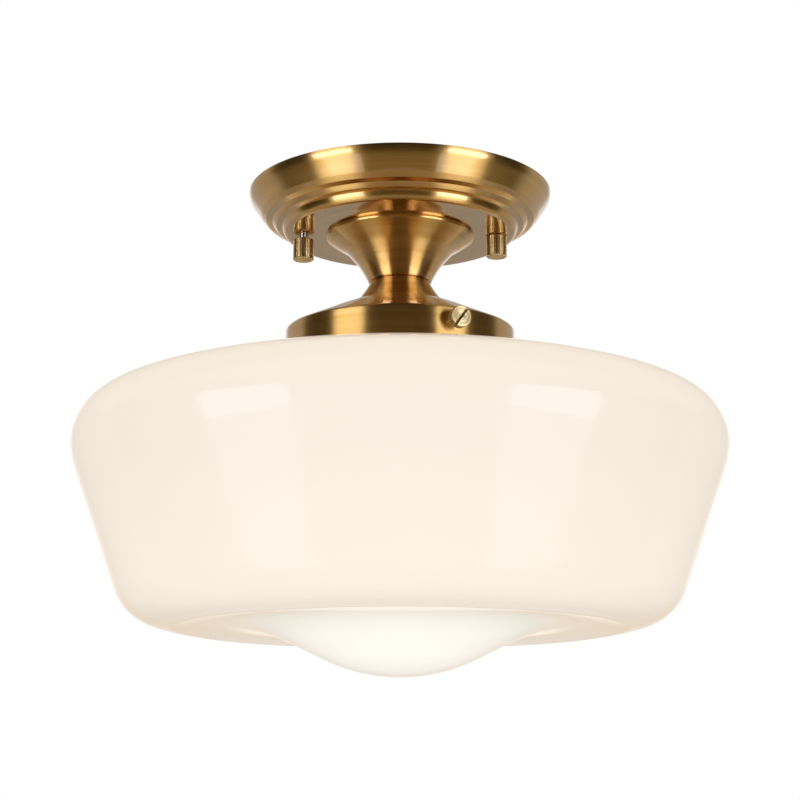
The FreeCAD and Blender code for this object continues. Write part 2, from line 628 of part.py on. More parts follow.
def wavy_wall(label, radius, top, straight_top, bottom, hole_radius):
    """A thin screw shell: rounded crests and roots of one thread after another."""
    body = new_body(label)
    sketch = new_sketch(body, "Section")
    root_radius = f"{radius} - thread_depth - thread_swell"
    corners = [(hole_radius, top, None), (root_radius, top, "shell_round")]
    turns = int(size("thread_turns"))
    for step in range(turns):
        crest = f"{straight_top} - thread_pitch * {step + 0.5}"
        root = f"{straight_top} - thread_pitch * {step + 1}"
        corners.append((f"{radius} + thread_swell", crest, "thread_round"))
        corners.append((root_radius, root, "thread_round"))
    corners.append((radius, f"{straight_top} - thread_pitch * {turns + 0.5}", "shell_round"))
    corners.append((radius, bottom, None))
    wall_outline(sketch, corners, "shell_wall")
    revolve(body, sketch, "Rolled")


def build_socket_metal():
    """The screw shell in the porcelain, in step with the bulb's thread, and the spring contact."""
    wavy_wall("socket_shell", "thread_radius + thread_gap + shell_wall", "-shell_top_z",
              "-base_top_z - base_lead + thread_pitch", "-porcelain_bottom_z + shell_end_gap",
              "shell_hole_radius")
    body = new_body("center_contact", ("0", "0", "-porcelain_bore_z - contact_thick"))
    sketch = new_sketch(body, "Strip", "XZ_Plane")
    half, drop, thick = "contact_length / 2", "contact_drop", "contact_thick"
    outline(sketch, [(f"-{half}", "0", None), ("0", "0", "contact_bend"), (half, f"-{drop}", None),
                     (half, f"-{drop} + {thick}", None), ("0", thick, "contact_bend"),
                     (f"-{half}", thick, None)])
    strip = pad(body, sketch, "contact_width")
    strip.Midplane = True


# ---------------------------------------------------------------- bulb
def build_bulb():
    """A 60 mm bulb: screw base, tip, plastic housing, driver, board and opal globe."""
    wavy_wall("bulb_screw_base", "thread_radius", "-base_top_z", "-base_top_z - base_lead",
              "-base_bottom_z", "base_hole_radius")
    floor = "-base_top_z - insulator_depth"
    turned("bulb_insulator", [
        ("tip_radius", "-tip_top_z - tip_thick", None),
        ("insulator_radius", "-base_top_z - shell_wall", None), ("insulator_radius", floor, None),
        ("0", floor, None), ("0", "-tip_top_z - tip_thick", None)])
    turned("bulb_tip", [
        ("0", "-tip_top_z - tip_thick", None), ("tip_radius", "-tip_top_z - tip_thick", None),
        ("tip_radius - tip_taper", "-tip_top_z", "tip_round"), ("0", "-tip_top_z", None)])
    side_top = "-housing_mouth_z + housing_side_height"
    spun("bulb_housing", [
        ("housing_neck_radius", "-base_bottom_z + housing_neck_depth", None),
        ("housing_neck_radius", "-housing_neck_end_z", "housing_neck_round"),
        ("housing_mouth_radius", side_top, "housing_side_round"),
        ("housing_mouth_radius", "-housing_mouth_z", None)][::-1], "housing_wall")
    ring("bulb_led_board", "led_board_radius", "0", "-led_board_z - led_board_thick",
         "-led_board_z")
    driver = new_body("bulb_driver_board", ("0", "0", "-led_board_z + driver_gap"))
    sketch = new_sketch(driver, "Board", "YZ_Plane")
    half = "driver_width / 2"
    soft = "driver_corner_round"
    outline(sketch, [(half, "0", None), (half, "driver_length", soft),
                     (f"-{half}", "driver_length", soft), (f"-{half}", "0", None)])
    board = pad(driver, sketch, "driver_thick")
    board.Midplane = True
    build_globe()


def build_globe():
    """The globe's section is two arcs about one centre, joined at the neck and on the axis."""
    body = new_body("bulb_globe")
    sketch = new_sketch(body, "Section")
    centre = Vector(0, -size("globe_centre_z"), 0)
    up = size("globe_centre_z - globe_neck_z")
    arcs = []
    for text in ("globe_radius", "globe_radius - globe_wall"):
        radius = size(text)
        across = (radius ** 2 - up ** 2) ** 0.5
        start, stop = -pi / 2, atan2(up, across)
        full = Part.Circle(centre, Vector(0, 0, 1), radius)
        arc = sketch.addGeometry(Part.ArcOfCircle(full, start, stop))
        arcs.append(arc)
        constrain(sketch, text, "Radius", arc)
        fix_point(sketch, arc, 3, "0", "-globe_centre_z")
        sketch.addConstraint(Sketcher.Constraint("PointOnObject", arc, 1, -2))
        constrain(sketch, "-globe_neck_z", "DistanceY", -1, 1, arc, 2)
    for end in (1, 2):
        points = [sketch.getPoint(arc, end) for arc in arcs]
        line = sketch.addGeometry(Part.LineSegment(*points))
        sketch.addConstraint(Sketcher.Constraint("Coincident", line, 1, arcs[0], end))
        sketch.addConstraint(Sketcher.Constraint("Coincident", line, 2, arcs[1], end))
    revolve(body, sketch, "Blown")


build_strap()
build_ground_screw()
build_canopy_fasteners()
build_canopy()
build_bell()
build_collar()
build_holder()
build_rod()
build_thumb_screw()
build_rests()
build_glass()
build_lampholder()
build_terminals()
build_socket_metal()
build_bulb()
doc.recompute()

# ---------------------------------------------------------------- checks and files
for item in doc.Objects:
    if "Invalid" in item.State or "Error" in item.State:
        raise SystemExit(f"{item.Label}: {item.State}")
for body in pieces:
    shape = body.Shape
    if shape.isNull() or not shape.isValid() or len(shape.Solids) != 1:
        raise SystemExit(f"{body.Label}: shape is not one valid solid ({len(shape.Solids)})")
for body in pieces:
    body.Shape.exportStep(f"parts/{body.Label}.step")
    box = body.Shape.BoundBox
    print(f"{body.Label:24s} {body.Shape.Volume:10.0f} mm3  X {box.XMin:7.1f} {box.XMax:7.1f}"
          f"  Y {box.YMin:7.1f} {box.YMax:7.1f}  Z {box.ZMin:7.1f} {box.ZMax:7.1f}")
print(len(pieces), "pieces")
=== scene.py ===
# %% [markdown]
# A semi flush ceiling light
#
# The real lamp hangs under the ceiling. A shallow brass pan, the canopy, hides the ceiling box. Two
# knurled nuts hold it up. A trumpet-shaped stem and a turned collar come down from it to the shade
# holder, a brass cap with an upright band. One thumb screw in that band grips the neck of a wide
# blown shade of white opal glass.
#
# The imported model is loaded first. It holds every piece at its real size, so each piece made here
# is drawn round the same axis, Z, at the same heights. The ceiling is the plane Z = 0.

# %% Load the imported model
import json
from math import atan2, ceil, cos, hypot, pi, radians, sin, tan

import bpy
from mathutils import Matrix, Vector

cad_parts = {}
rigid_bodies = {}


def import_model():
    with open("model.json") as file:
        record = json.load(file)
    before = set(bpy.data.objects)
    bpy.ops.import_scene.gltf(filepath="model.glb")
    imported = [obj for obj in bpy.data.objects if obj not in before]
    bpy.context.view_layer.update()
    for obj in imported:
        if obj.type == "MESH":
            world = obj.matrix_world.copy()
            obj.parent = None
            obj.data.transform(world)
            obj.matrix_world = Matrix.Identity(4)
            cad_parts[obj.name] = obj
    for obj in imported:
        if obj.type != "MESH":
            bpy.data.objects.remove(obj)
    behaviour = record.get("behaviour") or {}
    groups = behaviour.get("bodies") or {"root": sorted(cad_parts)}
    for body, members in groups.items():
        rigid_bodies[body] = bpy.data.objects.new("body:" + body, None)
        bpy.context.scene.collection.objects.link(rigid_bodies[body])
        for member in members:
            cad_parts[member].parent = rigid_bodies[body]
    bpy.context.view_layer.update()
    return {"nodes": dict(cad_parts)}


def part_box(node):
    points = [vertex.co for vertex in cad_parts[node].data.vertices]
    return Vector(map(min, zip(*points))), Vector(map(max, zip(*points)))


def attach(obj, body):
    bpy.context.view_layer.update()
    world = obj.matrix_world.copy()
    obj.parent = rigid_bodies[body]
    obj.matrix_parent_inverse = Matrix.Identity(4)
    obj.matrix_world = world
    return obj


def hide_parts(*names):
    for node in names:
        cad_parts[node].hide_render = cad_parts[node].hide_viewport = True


for thing in list(bpy.data.objects):
    bpy.data.objects.remove(thing)
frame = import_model()
nodes = frame["nodes"]

# %% [markdown]
# Camera
#
# The photograph was taken a little below the lamp and looks slightly up, so the edge of the canopy
# shows as a narrow ellipse and the nose of the glass shows under its foot. These values make the
# outlines of canopy, band and glass fall where the photograph has them.

# %% Camera
MM = 0.001
CAMERA_PLACE = (0, -0.803, -0.2781)
CAMERA_TILT_UP = radians(12.56)
LENS = 80
SENSOR = 36

camera_data = bpy.data.cameras.new("camera")
camera_data.lens = LENS
camera_data.sensor_width = SENSOR
camera = bpy.data.objects.new("camera", camera_data)
camera.location = CAMERA_PLACE
camera.rotation_euler = (pi / 2 + CAMERA_TILT_UP, 0, 0)
bpy.context.scene.collection.objects.link(camera)
bpy.context.scene.camera = camera
print("camera is", round(hypot(*CAMERA_PLACE), 3), "m from the ceiling plate")

# %% [markdown]
# Drawing a turned outline
#
# Canopy, stem, collar, holder and shade are all round things, spun over a former or turned on a
# lathe. Each is made the same way here. One vertex stands at the start of the outline. It is
# extruded along the straight runs and spun round the centre of every rounded corner, so the corners
# are true arcs. Then the finished outline is spun once round the Z axis.

# %% Selection helpers
def deselect():
    """Operators act on all that is selected, so nothing is left selected before a new piece."""
    if bpy.context.mode != "OBJECT":
        bpy.ops.object.mode_set(mode="OBJECT")
    bpy.ops.object.select_all(action="DESELECT")


def select_only(piece):
    deselect()
    bpy.context.view_layer.objects.active = piece
    piece.select_set(True)


def apply_place(piece):
    """Moves the place and turn of a new object into its mesh."""
    select_only(piece)
    bpy.ops.object.transform_apply(location=True, rotation=True, scale=True)


# %% Outline helpers
ARC_STEP = radians(6)
ARC_PIECES_LEAST = 3
RUN_STEP = 3.0
MERGE_WITHIN = 0.002


def in_section(point):
    """A point (radius, height) in mm as a place in the plane Y = 0."""
    return Vector((point[0] * MM, 0, point[1] * MM))


def start_outline(name, point):
    """One vertex at the start of an outline, left in edit mode."""
    deselect()
    bpy.ops.mesh.primitive_plane_add(size=MM, location=in_section(point))
    piece = bpy.context.object
    piece.name = piece.data.name = name
    apply_place(piece)
    bpy.ops.object.mode_set(mode="EDIT")
    bpy.ops.mesh.select_all(action="SELECT")
    bpy.ops.mesh.merge(type="CENTER")
    return piece


def extrude_to(here, there, step):
    """Draws a straight run, in pieces of about step mm."""
    here, there = Vector(here), Vector(there)
    count = max(1, ceil((there - here).length / step))
    move = in_section((there - here) / count)
    for _ in range(count):
        bpy.ops.mesh.extrude_region_move(TRANSFORM_OT_translate={"value": move})
    return there


def draw_outline(name, corners, step=RUN_STEP):
    """Draws the corners (radius, height, rounding) of an outline, in mm."""
    points = [Vector(corner[:2]) for corner in corners]
    piece = start_outline(name, points[0])
    here = points[0]
    for i in range(1, len(corners) - 1):
        rounding = corners[i][2] if len(corners[i]) > 2 else 0
        if not rounding:
            here = extrude_to(here, points[i], step)
            continue
        before = (points[i] - points[i - 1]).normalized()
        after = (points[i + 1] - points[i]).normalized()
        turn = atan2(before.x * after.y - before.y * after.x, before.dot(after))
        first = points[i] - before * rounding * abs(tan(turn / 2))
        here = extrude_to(here, first, step)
        side = Vector((-before.y, before.x)) * (1 if turn > 0 else -1)
        count = max(ARC_PIECES_LEAST, ceil(abs(turn) / ARC_STEP), ceil(abs(turn) * rounding / step))
        bpy.ops.mesh.spin(steps=count, angle=turn, center=in_section(first + side * rounding),
                          axis=(0, 1, 0))
        here = points[i] + after * rounding * abs(tan(turn / 2))
    extrude_to(here, points[-1], step)
    return piece


def close_solid():
    """Merges what lies on one spot, turns all faces outwards and leaves edit mode."""
    bpy.ops.mesh.select_all(action="SELECT")
    bpy.ops.mesh.remove_doubles(threshold=MERGE_WITHIN * MM)
    bpy.ops.mesh.normals_make_consistent(inside=False)
    bpy.ops.object.mode_set(mode="OBJECT")


def spin_round(steps):
    """Spins the outline once round Z and closes the seam and the poles."""
    bpy.ops.mesh.select_all(action="SELECT")
    bpy.ops.mesh.spin(steps=steps, angle=2 * pi, center=(0, 0, 0), axis=(0, 0, 1))
    close_solid()


# %% [markdown]
# Finishing a piece
#
# A spun outline is a skin without thickness. Modifiers do to it what a metal or glass worker does:
# Solidify gives the wall, Bevel breaks the sharp rims and Boolean drills a hole. Each is applied at
# once, so the mesh itself has the final shape. Then the piece stands for its solid of the packed
# model, and rides on the same body.

# %% Finishing helpers
SHEET_EDGE_ANGLE = 35
RIM_ANGLE = radians(60)
DRILL_SIDES = 48


def finish_with(piece, kind, **settings):
    """Adds a modifier and applies it."""
    select_only(piece)
    modifier = piece.modifiers.new(kind.lower(), kind)
    for name, value in settings.items():
        setattr(modifier, name, value)
    bpy.ops.object.modifier_apply(modifier=modifier.name)


def smooth(piece, angle=SHEET_EDGE_ANGLE):
    """Shades a piece smooth, apart from edges that turn by more than the angle in degrees."""
    select_only(piece)
    bpy.ops.object.shade_smooth_by_angle(angle=radians(angle))


def report(piece):
    low, high = Vector(piece.bound_box[0]), Vector(piece.bound_box[6])
    size = (high - low) / MM
    print(f"{piece.name}: {len(piece.data.polygons)} faces, {size.x:.1f} x {size.y:.1f} x "
          f"{size.z:.1f} mm, lowest {low.z / MM:.1f}")


def spun_shell(name, corners, wall, steps=192, rim_bevel=0.25, step=RUN_STEP):
    """A shell of even wall, drawn on its outside, with its rims broken."""
    piece = draw_outline(name, corners, step)
    spin_round(steps)
    finish_with(piece, "SOLIDIFY", thickness=wall * MM, offset=-1, use_even_offset=True)
    finish_with(piece, "BEVEL", width=rim_bevel * MM, segments=2, limit_method="ANGLE",
                angle_limit=RIM_ANGLE)
    smooth(piece)
    report(piece)
    return piece


def drill(piece, place, radius, depth, turn=(0, 0, 0)):
    """Takes a round hole out of a piece. place is the middle of the hole, in mm."""
    deselect()
    bpy.ops.mesh.primitive_cylinder_add(vertices=DRILL_SIDES, radius=radius * MM, depth=depth * MM,
                                        location=Vector(place) * MM, rotation=turn)
    drill_bit = bpy.context.object
    finish_with(piece, "BOOLEAN", operation="DIFFERENCE", solver="EXACT", object=drill_bit)
    bpy.data.objects.remove(drill_bit)


def stands_for(piece, body, node):
    """The new piece takes the place of a CAD node, on the same body."""
    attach(piece, body)
    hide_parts(node)


# %% [markdown]
# Canopy
#
# The canopy is spun from thin brass sheet: a rounded side, three rolled ridges and a flat face. The
# ridges are drawn as creases with round crests between them. Solidify then gives the sheet its
# thickness, inwards, because the outline is the outside. Two holes in the face let the studs through.

# %% Canopy
BORE = 5.15
CREASE = 0.35
FACE_HEIGHT = -20
CANOPY = [(71.1, 0), (71.1, -2.5, 7), (65.2, -10.8, CREASE), (63.1, -12.8, 1.6),
          (60.2, -13.7, CREASE), (58.3, -15.7, 1.6), (55.7, -16.2, CREASE),
          (54.4, FACE_HEIGHT, 3.4), (BORE, FACE_HEIGHT)]
CANOPY_WALL = 0.9
STUD_X = 45.5
STUD_HOLE_RADIUS = 2.4

canopy = spun_shell("canopy_spun", CANOPY, CANOPY_WALL)
for side in (-1, 1):
    drill(canopy, (side * STUD_X, 0, FACE_HEIGHT), STUD_HOLE_RADIUS, depth=6)
smooth(canopy)
report(canopy)
stands_for(canopy, "fixture", "canopy")

# %% [markdown]
# Stem and collar
#
# The stem is a trumpet: a small rolled lip, a wide mouth that draws in fast, and a long straight
# throat. Under it sits a solid turned collar. The gap between the two reads as a thin dark groove,
# so both keep a small rounded edge there.

# %% Stem and collar
STEM_FOOT = -42.9
COLLAR_TOP = -43
COLLAR_FOOT = -53.7
BELL = [(34.5, -20.05), (34.9, -21.3, 0.8), (25.4, -27.5, 16), (19, -34.8, 40),
        (14.6, STEM_FOOT, 1.1), (BORE, STEM_FOOT)]
BELL_WALL = 0.9
COLLAR = [(BORE, COLLAR_TOP), (13.7, COLLAR_TOP, 0.5), (16, -47.2, 26), (20.5, -53.1, 0.3),
          (20.5, COLLAR_FOOT, 0.15), (BORE, COLLAR_FOOT)]
COLLAR_STEPS = 160

bell = spun_shell("bell_spun", BELL, BELL_WALL, rim_bevel=0.15, step=2)
stands_for(bell, "fixture", "bell")

collar = draw_outline("neck_collar_turned", COLLAR + [COLLAR[0]], step=2)
spin_round(COLLAR_STEPS)
smooth(collar)
report(collar)
stands_for(collar, "fixture", "neck_collar")

# %% [markdown]
# Shade holder
#
# The holder is one spun cap: a flat seat for the collar, a low dome, a tight shoulder and an upright
# band. The band has one hole, for the threaded bush of the thumb screw.

# %% Shade holder
HOLDER = [(BORE, COLLAR_FOOT), (22.6, COLLAR_FOOT, 2.4), (33.8, -58.6, 40), (53.4, -67.7, 1.3),
          (53.4, -86.1)]
HOLDER_WALL = 1.2
BAND_MIDDLE = 52.8
SCREW_HEIGHT = -74
SCREW_AZIMUTH = radians(26)
BUSH_RADIUS = 3.6

holder = spun_shell("shade_holder_spun", HOLDER, HOLDER_WALL, step=2)
out = Vector((sin(SCREW_AZIMUTH), -cos(SCREW_AZIMUTH), 0))
drill(holder, out * BAND_MIDDLE + Vector((0, 0, SCREW_HEIGHT)), BUSH_RADIUS, depth=8,
      turn=(pi / 2, 0, SCREW_AZIMUTH))
smooth(holder)
report(holder)
stands_for(holder, "fixture", "shade_holder")

# %% [markdown]
# Glass shade
#
# The shade was blown into a mould: a short neck, a wide and nearly flat crown, a rounded brow, walls
# that draw in to the foot, and a shallow ring round a low nose. All the corners are large soft arcs.
# The wall is thick, and Solidify gives it inwards.

# %% Glass shade
GLASS = [(48.9, -71.5), (48.9, -86.5, 3), (111.4, -95.2, 250), (152, -108.8, 22),
         (149.05, -131.1, 36), (123.5, -201, 24.5), (101.9, -205.5, 11.8), (71.6, -200.2, 76.8),
         (18.4, -226.1, 79), (0, -226.1)]
GLASS_WALL = 3.2

glass = spun_shell("glass_shade_blown", GLASS, GLASS_WALL, steps=256, rim_bevel=0.5)
stands_for(glass, "shade", "glass_shade")

# %% [markdown]
# Knurled cap nuts
#
# Two round nuts hold the canopy. Each is turned from brass bar with a straight knurl, so its side is
# a ring of fine teeth, and its two edges are broken. A circle with four vertices for each tooth is
# extruded up in three steps. Then the vertices of the grooves alone are drawn in. The thread is a
# blind hole from the top.

# %% Knurl helpers
VERTICES_PER_TOOTH = 4
# The share of a tooth's pitch that its groove takes
GROOVE_START, GROOVE_END = 0.4, 0.85
SAME_HEIGHT = 0.001


def extrude_face(rise, scale=1.0):
    """Extrudes the selected face along Z by rise mm and scales it about the Z axis."""
    bpy.ops.mesh.extrude_region_move(TRANSFORM_OT_translate={"value": (0, 0, rise * MM)})
    if scale != 1.0:
        bpy.ops.transform.resize(value=(scale, scale, 1), center_override=(0, 0, 0))


def select_vertices(piece, wanted):
    """Selects the vertices whose place, in mm, is wanted, and nothing else."""
    bpy.ops.mesh.select_all(action="DESELECT")
    bpy.ops.mesh.select_mode(type="VERT")
    bpy.ops.object.mode_set(mode="OBJECT")
    for vertex in piece.data.vertices:
        vertex.select = wanted(vertex.co / MM)
    bpy.ops.object.mode_set(mode="EDIT")


def select_end(piece, height):
    select_vertices(piece, lambda place: abs(place.z - height) < SAME_HEIGHT)


def knurled_disc(name, radius, chamfer, low, high, teeth, depth):
    """A round disc with a straight knurl, along Z from low to high, left in edit mode."""
    deselect()
    rim = radius - chamfer
    bpy.ops.mesh.primitive_circle_add(vertices=teeth * VERTICES_PER_TOOTH, radius=rim * MM,
                                      fill_type="NGON", location=(0, 0, low * MM))
    piece = bpy.context.object
    piece.name = piece.data.name = name
    apply_place(piece)
    bpy.ops.object.mode_set(mode="EDIT")
    bpy.ops.mesh.select_all(action="SELECT")
    extrude_face(chamfer, radius / rim)
    extrude_face(high - low - 2 * chamfer)
    extrude_face(chamfer, rim / radius)

    def in_groove(place):
        phase = atan2(place.y, place.x) / (2 * pi) * teeth % 1
        on_side = hypot(place.x, place.y) > radius - chamfer / 2
        return on_side and GROOVE_START < phase < GROOVE_END

    select_vertices(piece, in_groove)
    inner = (radius - depth) / radius
    bpy.ops.transform.resize(value=(inner, inner, 1), center_override=(0, 0, 0))
    return piece


# %% Knurled cap nuts
NUT_RADIUS = 4.9
NUT_HEIGHT = 10
NUT_CHAMFER = 0.45
NUT_TEETH = 36
NUT_GROOVE = 0.3
NUT_BORE = 2.16
NUT_BORE_DEPTH = 8.6
NUT_MOUTH = 0.3
FINE_EDGE_ANGLE = 30

for side, name in ((-1, "left"), (1, "right")):
    nut = knurled_disc("cap_nut_" + name + "_knurled", NUT_RADIUS, NUT_CHAMFER, 0, NUT_HEIGHT,
                       NUT_TEETH, NUT_GROOVE)
    select_end(nut, NUT_HEIGHT)
    extrude_face(0, (NUT_BORE + NUT_MOUTH) / (NUT_RADIUS - NUT_CHAMFER))
    extrude_face(-NUT_MOUTH, NUT_BORE / (NUT_BORE + NUT_MOUTH))
    extrude_face(-NUT_BORE_DEPTH + NUT_MOUTH)
    close_solid()
    low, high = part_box("cap_nut_" + name)
    nut.location = (side * STUD_X * MM, 0, low.z)
    apply_place(nut)
    smooth(nut, FINE_EDGE_ANGLE)
    report(nut)
    stands_for(nut, "cap_nut_" + name, "cap_nut_" + name)

# %% [markdown]
# Thumb screw
#
# The screw is drawn standing up, from the tip of its shank to the face of its head, and then laid in
# its hole. The head has the same kind of knurl as the nuts, and a saw slot across its face. The slot
# is cut with a thin block, as a slitting saw would.

# %% Thumb screw
SCREW_TIP = 49.3
SCREW_FACE = 61.4
SCREW_HEAD_THICK = 3.6
SCREW_HEAD_RADIUS = 4.85
SCREW_CHAMFER = 0.25
SCREW_TEETH = 32
SCREW_GROOVE = 0.22
SCREW_SHANK_RADIUS = 2
TIP_CHAMFER = 0.4
TIP_SCALE = 0.8
SLOT_WIDTH = 1.25
SLOT_DEPTH = 1.3
SLOT_ANGLE = radians(53)

screw = knurled_disc("thumb_screw_slotted", SCREW_HEAD_RADIUS, SCREW_CHAMFER,
                     SCREW_FACE - SCREW_HEAD_THICK, SCREW_FACE, SCREW_TEETH, SCREW_GROOVE)
select_end(screw, SCREW_FACE - SCREW_HEAD_THICK)
extrude_face(0, SCREW_SHANK_RADIUS / (SCREW_HEAD_RADIUS - SCREW_CHAMFER))
extrude_face(SCREW_TIP + TIP_CHAMFER - SCREW_FACE + SCREW_HEAD_THICK)
extrude_face(-TIP_CHAMFER, TIP_SCALE)
close_solid()
deselect()
bpy.ops.mesh.primitive_cube_add(size=MM, location=(0, 0, SCREW_FACE * MM),
                                rotation=(0, 0, SLOT_ANGLE),
                                scale=(3 * SCREW_HEAD_RADIUS, SLOT_WIDTH, 2 * SLOT_DEPTH))
saw = bpy.context.object
finish_with(screw, "BOOLEAN", operation="DIFFERENCE", solver="EXACT", object=saw)
bpy.data.objects.remove(saw)
SCREW_TURN = Matrix.Rotation(SCREW_AZIMUTH, 4, "Z") @ Matrix.Rotation(pi / 2, 4, "X")
screw.matrix_world = Matrix.Translation((0, 0, SCREW_HEIGHT * MM)) @ SCREW_TURN
apply_place(screw)
smooth(screw, FINE_EDGE_ANGLE)
report(screw)
stands_for(screw, "thumb_screw", "thumb_screw")

# %% [markdown]
# Threaded studs
#
# The studs are cut from threaded rod. One tooth of the thread is drawn as a short outline, and the
# Screw modifier winds it up the rod, one pitch for each turn. The two ends are cut square with
# bisect, which also closes them.

# %% Threaded studs
STUD_RADIUS = 2.1
STUD_PITCH = 0.7
THREAD_DEPTH = 0.35
# The share of the pitch at which the flat crest of a tooth starts and ends
CREST_START, CREST_END = 0.4, 0.6
TURN_STEPS = 24
SPARE_TURNS = 2
THREAD_MERGE_WITHIN = 0.001


def threaded_rod(name, radius, pitch, depth, low, high):
    """A rod along Z with a cut thread, between two heights in mm."""
    start = low - pitch
    piece = draw_outline(name, [(radius - depth, start), (radius, start + CREST_START * pitch),
                                (radius, start + CREST_END * pitch),
                                (radius - depth, start + pitch)])
    bpy.ops.object.mode_set(mode="OBJECT")
    finish_with(piece, "SCREW", steps=TURN_STEPS, render_steps=TURN_STEPS,
                screw_offset=pitch * MM, iterations=ceil((high - low) / pitch) + SPARE_TURNS,
                use_merge_vertices=True, merge_threshold=THREAD_MERGE_WITHIN * MM)
    bpy.ops.object.mode_set(mode="EDIT")
    for height, upward in ((low, False), (high, True)):
        bpy.ops.mesh.select_all(action="SELECT")
        bpy.ops.mesh.bisect(plane_co=(0, 0, height * MM), plane_no=(0, 0, 1), use_fill=True,
                            clear_outer=upward, clear_inner=not upward)
    close_solid()
    return piece


for side, name in ((-1, "left"), (1, "right")):
    low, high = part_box("canopy_stud_" + name)
    stud = threaded_rod("canopy_stud_" + name + "_threaded", STUD_RADIUS, STUD_PITCH,
                        THREAD_DEPTH, low.z / MM, high.z / MM)
    stud.location.x = side * STUD_X * MM
    apply_place(stud)
    smooth(stud, FINE_EDGE_ANGLE)
    report(stud)
    stands_for(stud, "fixture", "canopy_stud_" + name)

# %% [markdown]
# Colours and nodes
#
# Every finish is made of nodes. Colours are written as sRGB hex, as a paint card or a picture editor
# gives them, and one function turns them into the linear values that shaders take. One more function
# adds a node with its settings and its links, so that a finish reads as a list of steps.

# %% Colour and node helpers
def linear(code):
    """An sRGB hex colour as the linear red, green, blue and alpha that a shader takes."""
    parts = [int(code[i:i + 2], 16) / 255 for i in (1, 3, 5)]
    return [((p + 0.055) / 1.055) ** 2.4 if p > 0.04045 else p / 12.92 for p in parts] + [1.0]


def add_node(tree, kind, settings=None, inputs=None):
    """A shader node with its settings, and with a value or a link for each named input."""
    node = tree.nodes.new("ShaderNode" + kind)
    for name, value in (settings or {}).items():
        setattr(node, name, value)
    for name, value in (inputs or {}).items():
        if isinstance(value, bpy.types.NodeSocket):
            tree.links.new(value, node.inputs[name])
        else:
            node.inputs[name].default_value = value
    return node


def new_material(name):
    material = bpy.data.materials.new(name)
    material.use_nodes = True
    material.node_tree.nodes.clear()
    return material, material.node_tree


def set_surface(tree, inputs):
    """The Principled shader with its inputs, joined to the material's output."""
    shader = add_node(tree, "BsdfPrincipled", inputs=inputs)
    add_node(tree, "OutputMaterial", inputs={"Surface": shader.outputs["BSDF"]})


def mix_colours(tree, factor, first, second):
    node = add_node(tree, "Mix", {"data_type": "RGBA"}, {0: factor, 6: first, 7: second})
    return node.outputs[2]


def map_values(tree, value, low, high, to_low, to_high):
    """Maps the values from low to high onto those from to_low to to_high, and stops there."""
    node = add_node(tree, "MapRange", inputs={"Value": value, "From Min": low, "From Max": high,
                                              "To Min": to_low, "To Max": to_high})
    return node.outputs["Result"]


def raised(tree, height, depth):
    """A bump whose full height is depth mm."""
    node = add_node(tree, "Bump", inputs={"Height": height, "Distance": depth * MM,
                                          "Strength": 1.0})
    return node.outputs["Normal"]


def paint(material, *pieces):
    for piece in pieces:
        piece.data.materials.clear()
        piece.data.materials.append(material)
    print(material.name, "on", ", ".join(piece.name for piece in pieces))


# %% [markdown]
# Noise
#
# No real finish is quite even, and noise gives the small changes of tone and gloss. Its values gather
# about 0.5, so a map from NOISE_LOW to NOISE_HIGH uses nearly all of them, and one from MOTTLE_LOW to
# MOTTLE_HIGH gives patches with a clearer edge. A tool that works on a lathe draws its marks out
# round the axis, so a second kind of noise is stretched that way.

# %% Noise helpers
NOISE_LOW, NOISE_HIGH = 0.3, 0.7
MOTTLE_LOW, MOTTLE_HIGH = 0.35, 0.65


def in_object(tree):
    return add_node(tree, "TexCoord").outputs["Object"]


def noise(tree, place, size, detail=2.0):
    """Noise with features of about size mm."""
    node = add_node(tree, "TexNoise", inputs={"Vector": place, "Scale": 1 / (size * MM),
                                              "Detail": detail})
    return node.outputs["Fac"]


def noise_round_axis(tree, place, length, spacing, radius, detail=2.0):
    """Noise drawn out round the Z axis, as a lathe or a brush leaves it, without a seam.

    Lines are about spacing mm apart, and length mm long at the given radius.
    """
    flat = add_node(tree, "VectorMath", {"operation": "MULTIPLY"}, {0: place, 1: (1, 1, 0)})
    ray = add_node(tree, "VectorMath", {"operation": "NORMALIZE"}, {0: flat.outputs[0]})
    along = add_node(tree, "VectorMath", {"operation": "SCALE"},
                     {0: ray.outputs[0], "Scale": radius / length})
    up = add_node(tree, "VectorMath", {"operation": "MULTIPLY"},
                  {0: place, 1: (0, 0, 1 / (spacing * MM))})
    both = add_node(tree, "VectorMath", {"operation": "ADD"},
                    {0: along.outputs[0], 1: up.outputs[0]})
    reach = add_node(tree, "VectorMath", {"operation": "LENGTH"}, {0: flat.outputs[0]})
    outward = add_node(tree, "Math", {"operation": "DIVIDE"},
                       {0: reach.outputs["Value"], 1: spacing * MM})
    node = add_node(tree, "TexNoise", {"noise_dimensions": "4D"},
                    {"Vector": both.outputs[0], "W": outward.outputs[0], "Scale": 1.0,
                     "Detail": detail})
    return node.outputs["Fac"]


# %% [markdown]
# Brass, spun, satin brushed and lacquered
#
# Canopy, stem and holder are brass sheet, and the collar is solid. Each was brushed while it turned on
# the lathe, so fine scratches run round its axis, and then lacquered. They spread a reflection far up
# and down but hardly sideways: that is the anisotropy, with its direction taken round Z. So each
# studio lamp shows as one upright column. The flat face of the canopy was polished instead, and it
# mirrors the nuts and the stem. The lacquer is a clear coat over all of it. Real scratches are about
# 0.1 mm apart. They are drawn 0.45 mm apart here, because finer ones don't show.

# %% Brushed brass
BRASS = linear("#DDB066")
BRASS_DEEP = linear("#CEA052")
SHEET_RADIUS = 50
BRUSH_LENGTH = 14
BRUSH_SPACING = 0.45
SCRATCH_DEPTH = 0.006
BAND_LENGTH = 90
BAND_SPACING = 2.4
